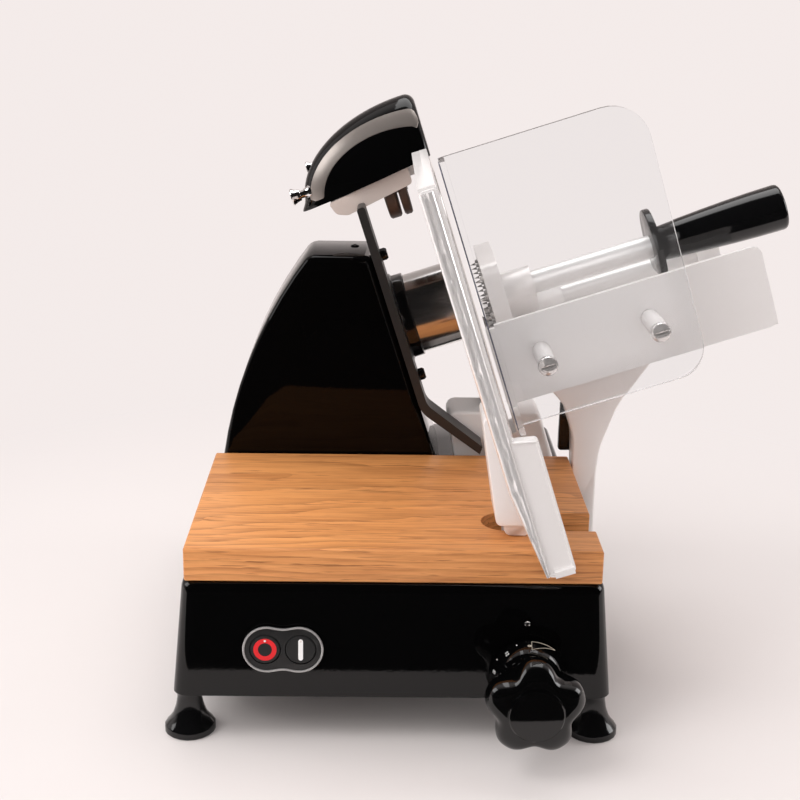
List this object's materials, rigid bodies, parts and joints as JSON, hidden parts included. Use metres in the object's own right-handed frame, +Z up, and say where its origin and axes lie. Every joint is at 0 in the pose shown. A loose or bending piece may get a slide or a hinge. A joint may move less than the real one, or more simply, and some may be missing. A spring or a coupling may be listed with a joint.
{
  "type": "food slicer",
  "caption": "Home food slicer with a slanted round blade, lacquered base with an oak board, sliding tilted food tray, clear hand guard, lifting pusher and a top sharpener.",
  "frame": {"origin": "middle of the footprint of the whole slicer, on the surface it stands on", "axes": "+Z up, +X towards the food tray's side, +Y away from the user"},
  "size_m": [0.4182, 0.4116, 0.3994],
  "materials": {
    "black_lacquer": "glossy black lacquer on cast aluminium",
    "black_satin": "satin black sheet steel",
    "black_plastic": "polished black plastic",
    "rubber": "matt black rubber",
    "oak": "oiled oak",
    "steel": "ground steel",
    "chrome": "polished chrome",
    "aluminium": "satin anodised",
    "silver_paint": "light grey painted casting",
    "champagne": "polished, slightly warm tint",
    "brass": "machined brass",
    "clear_acrylic": "clear polished acrylic",
    "grindstone": "dark abrasive"
  },
  "bodies": {
    "frame": {"base_shell": "black_lacquer", "bottom_sheet": "black_satin", "foot_front_left": "black_plastic", "foot_front_right": "black_plastic", "foot_rear_left": "black_plastic", "foot_rear_right": "black_plastic", "cord_gland": "rubber", "switch_bezel": "black_plastic", "motor_housing": "black_lacquer", "rear_cover": "black_satin", "motor_body": "black_satin", "drive_belt": "rubber", "hub_collar": "black_plastic", "hub_sleeve": "chrome", "spindle_bearing_rear": "steel", "spindle_bearing_front": "steel", "ring_guard": "silver_paint", "guard_pedestal": "silver_paint", "deflector": "black_satin", "deflector_screw_upper": "black_plastic", "deflector_screw_lower": "black_plastic", "gauge_rod": "steel", "carriage_rod": "chrome", "sharpener_mount": "silver_paint"},
    "board": {"cutting_board": "oak"},
    "stop_button": {"stop_button": "black_plastic"},
    "start_button": {"start_button": "black_plastic"},
    "knife": {"blade": "steel", "blade_clamp": "steel", "spindle": "steel", "spindle_pulley": "aluminium"},
    "motor_pulley": {"motor_pulley": "brass"},
    "knob": {"thickness_knob": "black_plastic", "pinion_shaft": "steel"},
    "gauge": {"gauge_plate": "aluminium", "gauge_post": "silver_paint", "gauge_slide": "aluminium"},
    "carriage": {"slide_block": "aluminium", "carriage_arm": "silver_paint", "arm_shroud": "black_plastic", "food_tray": "aluminium", "hand_guard": "clear_acrylic", "guard_spacer_left": "aluminium", "guard_spacer_right": "aluminium", "guard_screw_left": "chrome", "guard_screw_right": "chrome", "pusher_rail": "chrome"},
    "pusher_sleeve": {"pusher_sleeve": "aluminium"},
    "pusher": {"pusher_plate": "aluminium", "pusher_tube": "aluminium", "pusher_disc": "black_plastic", "pusher_grip": "black_plastic"},
    "sharpener": {"sharpener_arm": "champagne", "sharpener_dome": "black_plastic"},
    "grinding_pin": {"grinding_pin": "chrome"},
    "honing_pin": {"honing_pin": "chrome"},
    "grinding_stone": {"grinding_stone": "grindstone"},
    "honing_stone": {"honing_stone": "grindstone"}
  },
  "joints": [
    {"name": "board_slide", "type": "slide", "parent": "frame", "child": "board", "axis": [-1, 0, 0], "range_m": [0, 0.12]},
    {"name": "stop_push", "type": "slide", "parent": "frame", "child": "stop_button", "axis": [0, 0.9981, -0.061], "range_m": [0, 0.0015], "stiffness_N_per_m": 250, "springref_m": -0.0015},
    {"name": "start_push", "type": "slide", "parent": "frame", "child": "start_button", "axis": [0, 0.9981, -0.061], "range_m": [0, 0.0015], "stiffness_N_per_m": 250, "springref_m": -0.0015},
    {"name": "knife_spin", "type": "hinge", "parent": "frame", "child": "knife", "pos_m": [-0.00901, 0.08156, 0.24065], "axis": [0.9511, 0, 0.309], "continuous": true},
    {"name": "motor_spin", "type": "hinge", "parent": "frame", "child": "motor_pulley", "pos_m": [-0.04987, 0.08956, 0.14957], "axis": [0.9511, 0, 0.309], "continuous": true},
    {"name": "knob_turn", "type": "hinge", "parent": "frame", "child": "knob", "pos_m": [0.02429, -0.15279, 0.05], "axis": [0, -1, 0], "range_deg": [0, 137.52]},
    {"name": "gauge_slide", "type": "slide", "parent": "frame", "child": "gauge", "axis": [-1, 0, 0], "range_m": [0, 0.012]},
    {"name": "carriage_slide", "type": "slide", "parent": "frame", "child": "carriage", "axis": [0, 1, 0], "range_m": [-0.05, 0.11]},
    {"name": "pusher_slide", "type": "slide", "parent": "carriage", "child": "pusher_sleeve", "axis": [0.9511, 0, 0.309], "range_m": [0, 0.1]},
    {"name": "pusher_lift", "type": "hinge", "parent": "pusher_sleeve", "child": "pusher", "pos_m": [0.03017, 0.07156, 0.23656], "axis": [-0.9511, 0, -0.309], "range_deg": [0, 70]},
    {"name": "sharpener_lift", "type": "slide", "parent": "frame", "child": "sharpener", "axis": [-0.309, 0, 0.9511], "range_m": [0, 0.02]},
    {"name": "grinding_push", "type": "slide", "parent": "sharpener", "child": "grinding_pin", "axis": [0.9511, 0, 0.309], "range_m": [0, 0.0025], "stiffness_N_per_m": 250, "springref_m": -0.002},
    {"name": "honing_push", "type": "slide", "parent": "sharpener", "child": "honing_pin", "axis": [0.9511, 0, 0.309], "range_m": [0, 0.0025], "stiffness_N_per_m": 250, "springref_m": -0.002},
    {"name": "grinding_spin", "type": "hinge", "parent": "sharpener", "child": "grinding_stone", "pos_m": [-0.07018, 0.08156, 0.31888], "axis": [0.9511, 0, 0.309], "continuous": true},
    {"name": "honing_spin", "type": "hinge", "parent": "sharpener", "child": "honing_stone", "pos_m": [-0.05972, 0.08156, 0.32228], "axis": [0.9511, 0, 0.309], "continuous": true}
  ],
  "couplings": [
    {"joint": "motor_spin", "follows": "knife_spin", "ratio": 2.7},
    {"joint": "knob_turn", "follows": "gauge_slide", "rad_per_m": 200}
  ]
}
